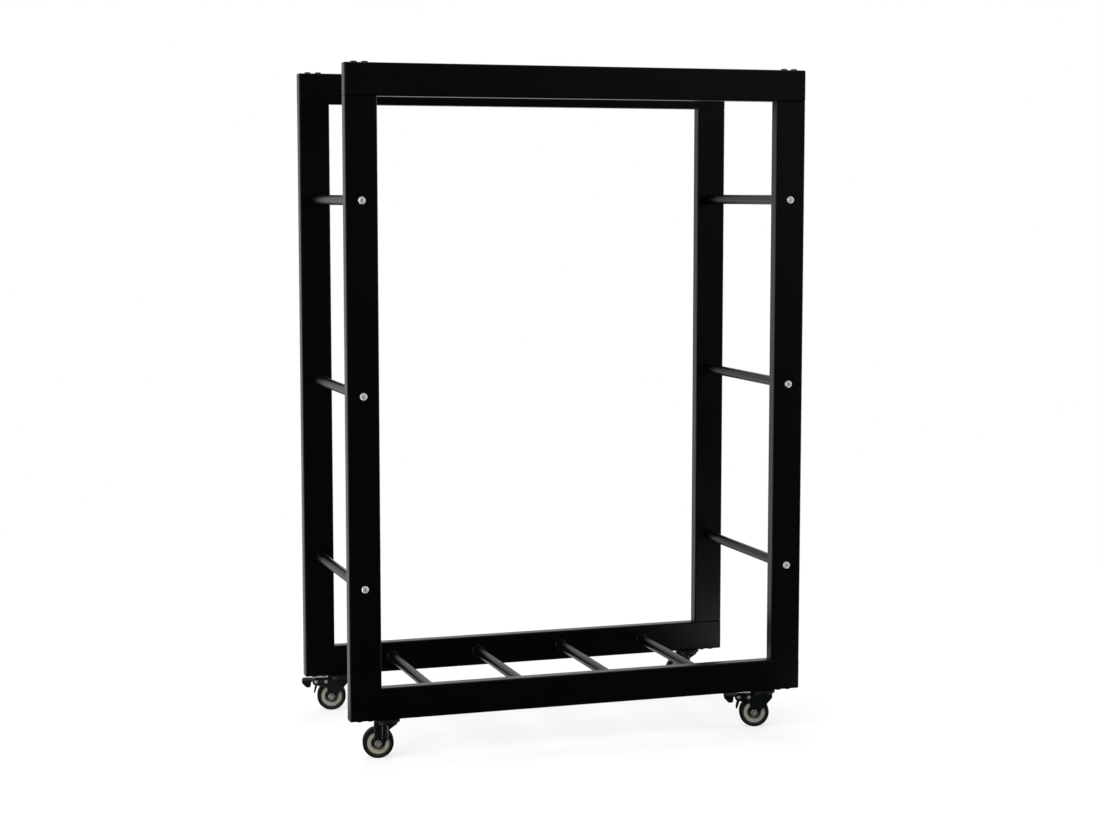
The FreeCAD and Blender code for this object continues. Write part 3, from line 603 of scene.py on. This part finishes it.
class RACK_OT_finish_forks(bpy.types.Operator):
    """Coat the pressed forks and the bearing cups"""

    bl_idname = "rack.finish_forks"
    bl_label = "Forks"

    def execute(self, context):
        paint = context.scene.rack_caster.fork
        wear(dip_coat("fork_dip_coat", paint, roughness=0.24, shine=1.0), nodes_ending("_fork"))
        wear(dip_coat("cup_dip_coat", paint, roughness=0.55, shine=0.25), ["caster_cups"])
        return {"FINISHED"}


class RACK_OT_finish_wheels(bpy.types.Operator):
    """Finish the moulded wheel cores and the tyres"""

    bl_idname = "rack.finish_wheels"
    bl_label = "Wheels"

    def execute(self, context):
        settings = context.scene.rack_caster
        for corner in CORNERS:
            wheel = f"{corner}_wheel"
            low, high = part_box(f"{corner}_tyre")
            tread = (high.z - low.z) / 2
            core = wheel_core(f"{corner}_core_plastic", wheel, settings, tread)
            wear(core, [f"{corner}_wheel_core"])
            tyre = tyre_rubber(f"{corner}_tyre_rubber", wheel, settings, tread)
            wear(tyre, [f"{corner}_tyre"])
        return {"FINISHED"}


class RACK_OT_finish_brakes(bpy.types.Operator):
    """Finish the moulded foot levers of the brakes"""

    bl_idname = "rack.finish_brakes"
    bl_label = "Brakes"

    def execute(self, context):
        paint = context.scene.rack_caster.brake
        grip = moulded_plastic("brake_plastic", paint, roughness=0.72, shine=0.15)
        wear(grip, nodes_ending("_brake_lever"))
        return {"FINISHED"}


# Stage

# Lamps: where each one stands, and its width and height
LAMPS = {
    "key": ((-3.0, -0.6, 2.6), (2.6, 2.6)),
    "back": ((0.8, 2.4, 3.0), (2.6, 2.6)),
    "front": ((-2.6, -3.0, 2.4), (1.4, 1.4)),
    "side": ((2.6, -0.8, 0.9), (0.7, 1.8)),
}

# Floor: distance at which its shadow starts to fade
SHADOW_CORE = 0.5

# Floor: where reflections show it bright, from none to full
FLOOR_BEHIND = (0.02, 0.3)
SIDE_PATCH_AHEAD = 0.16
SIDE_PATCH_SLANT = (0.78, 0.92)
SIDE_PATCH_START = (0.17, 0.25)  # squares of the distances from the middle

# Room: where reflections show it bright, from none to full, along a direction of length 1
ROOM_BEHIND = (-0.45, 0.2)
GLOW_ACROSS = (0.15, 0.6)
GLOW_UP = (-0.2, 0.15)
LEFT_PANEL = (-0.6, -0.95)
RIGHT_PANEL = (0.75, 0.97)

# Room: brightness that the left part of the backdrop keeps, and where it rises to full
LEFT_SHARE = 0.6
LEFT_RISE = (-0.45, -0.15)


class RACK_OT_set_stage(bpy.types.Operator):
    """Lay the floor, light the rack and set up the camera"""

    bl_idname = "rack.set_stage"
    bl_label = "Stage"

    def execute(self, context):
        scene = context.scene
        settings = scene.rack_stage
        lay_floor(scene, settings)
        light_room(scene, settings)
        middle = (CAD_BOX[0] + CAD_BOX[1]) / 2
        for name, (place, size) in LAMPS.items():
            add_lamp(scene, f"{name}_lamp", place, middle, size, getattr(settings, f"{name}_power"))
        set_camera(scene, settings)
        scene.view_settings.view_transform = "Standard"
        return {"FINISHED"}


def lay_floor(scene, settings):
    """Pale floor that keeps the rack's soft shadow and is plain white further out."""
    sheet = bmesh.new()
    bmesh.ops.create_grid(sheet, x_segments=1, y_segments=1, size=settings.floor_size / 2)
    mesh = bpy.data.meshes.new("floor")
    sheet.to_mesh(mesh)
    sheet.free()
    mesh.materials.append(floor_paper(settings).material)
    floor = bpy.data.objects.new("floor", mesh)
    scene.collection.objects.link(floor)


def floor_paper(settings):
    """Matte paper that glows white by itself, less so near the rack, where its shadow shows."""
    paper = Finish("floor_paper")
    paper.set("Base Color", (*settings.floor, 1))
    paper.set("Roughness", 0.9)
    paper.set("Specular IOR Level", 0.0)
    mirrored = paper.ray("Glossy")
    colour = paper.mix(mirrored, WHITE, mirrored_floor(paper, settings))
    glow = paper.node("ShaderNodeEmission", None, {"Color": colour})
    far = paper.between(paper.length(paper.place), SHADOW_CORE, settings.floor_clear)
    plain = settings.floor_glow + (1 - settings.floor_glow) * far
    share = (paper.ray("Camera") + paper.ray("Transmission")) * plain + mirrored
    lit = Wire(paper, paper.surface.outputs[0])
    blend = paper.node("ShaderNodeMixShader", None, {0: share, 1: lit, 2: glow})
    paper.feed(paper.tree.nodes["Material Output"].inputs["Surface"], blend)
    return paper


def mirrored_floor(paper, settings):
    """Floor as reflections show it: bright behind the rack and at both sides, dark in front."""
    across, along, _ = paper.axes(paper.place)
    behind = paper.between(along, *FLOOR_BEHIND)
    sideways = across * across
    ahead = along + SIDE_PATCH_AHEAD
    slant = sideways / (sideways + ahead * ahead)
    beside = paper.between(slant, *SIDE_PATCH_SLANT) * paper.between(sideways, *SIDE_PATCH_START)
    wall = paper.mix(behind, grey(settings.dark_side), grey(settings.backdrop))
    return paper.mix(beside, wall, grey(settings.panels))


def light_room(scene, settings):
    """White room that lights the rack evenly, with its own brightness in reflections."""
    world = bpy.data.worlds.new("studio")
    world.use_nodes = True
    scene.world = world
    room = Shader(world.node_tree)
    plain = room.ray("Camera") + room.ray("Transmission")
    glossy = room.ray("Glossy")
    ambient = (1 - plain - glossy) * settings.ambient
    background = world.node_tree.nodes["Background"]
    room.feed(background.inputs["Color"], (*WHITE, 1))
    room.feed(background.inputs["Strength"], plain + glossy * mirrored_room(room, settings) + ambient)


def mirrored_room(room, settings):
    """Room as reflections show it: backdrop, panels at both sides and a dark front."""
    across, along, up = room.axes(room.node("ShaderNodeTexCoord", output="Generated"))
    glow = room.between(across, *GLOW_ACROSS) * room.between(up, *GLOW_UP)
    front = settings.dark_side + settings.side_glow * glow
    level = LEFT_SHARE + (1 - LEFT_SHARE) * room.between(across, *LEFT_RISE)
    behind = level * room.between(along, *ROOM_BEHIND)
    wall = front + (settings.backdrop - front) * behind
    left = room.between(across, *LEFT_PANEL)
    right = room.between(across, *RIGHT_PANEL)
    panels = room.maths("MAXIMUM", left, right) * settings.panels
    return room.maths("MAXIMUM", wall, panels)


def add_lamp(scene, name, location, target, size, power):
    """Soft lamp aimed at a point; neither it nor its mirror image is seen."""
    data = bpy.data.lights.new(name, "AREA")
    data.shape = "RECTANGLE"
    data.size, data.size_y = size
    data.energy = power
    lamp = bpy.data.objects.new(name, data)
    lamp.location = location
    lamp.rotation_euler = (target - lamp.location).to_track_quat("-Z", "Y").to_euler()
    lamp.visible_camera = False
    lamp.visible_glossy = False
    scene.collection.objects.link(lamp)


def set_camera(scene, settings):
    data = bpy.data.cameras.new("camera")
    data.lens = settings.lens
    camera = bpy.data.objects.new("camera", data)
    camera.location = settings.camera
    sight = Vector(settings.target) - camera.location
    camera.rotation_euler = sight.to_track_quat("-Z", "Y").to_euler()
    scene.collection.objects.link(camera)
    scene.camera = camera


# Add-on

class RACK_PT_panel(bpy.types.Panel):
    """Finishes and stage of the firewood rack"""

    bl_idname = "RACK_PT_panel"
    bl_label = "Firewood Rack"
    bl_space_type = "VIEW_3D"
    bl_region_type = "UI"
    bl_category = "Rack"

    def draw(self, context):
        for operator in OPERATORS:
            self.layout.operator(operator.bl_idname)


OPERATORS = (
    RACK_OT_finish_frame,
    RACK_OT_finish_caps,
    RACK_OT_finish_fasteners,
    RACK_OT_add_welds,
    RACK_OT_finish_forks,
    RACK_OT_finish_wheels,
    RACK_OT_finish_brakes,
    RACK_OT_set_stage,
)
SETTINGS = {
    "rack_frame": RackFrameSettings,
    "rack_caster": RackCasterSettings,
    "rack_stage": RackStageSettings,
}
CLASSES = (*SETTINGS.values(), *OPERATORS, RACK_PT_panel)


def register():
    for cls in CLASSES:
        bpy.utils.register_class(cls)
    for name, cls in SETTINGS.items():
        setattr(bpy.types.Scene, name, PointerProperty(type=cls))


def unregister():
    for name in SETTINGS:
        delattr(bpy.types.Scene, name)
    for cls in reversed(CLASSES):
        bpy.utils.unregister_class(cls)


def main():
    register()
    bpy.ops.rack.finish_frame()
    bpy.ops.rack.finish_caps()
    bpy.ops.rack.finish_fasteners()
    bpy.ops.rack.add_welds()
    bpy.ops.rack.finish_forks()
    bpy.ops.rack.finish_wheels()
    bpy.ops.rack.finish_brakes()
    bpy.ops.rack.set_stage()


if __name__ == "__main__":
    main()
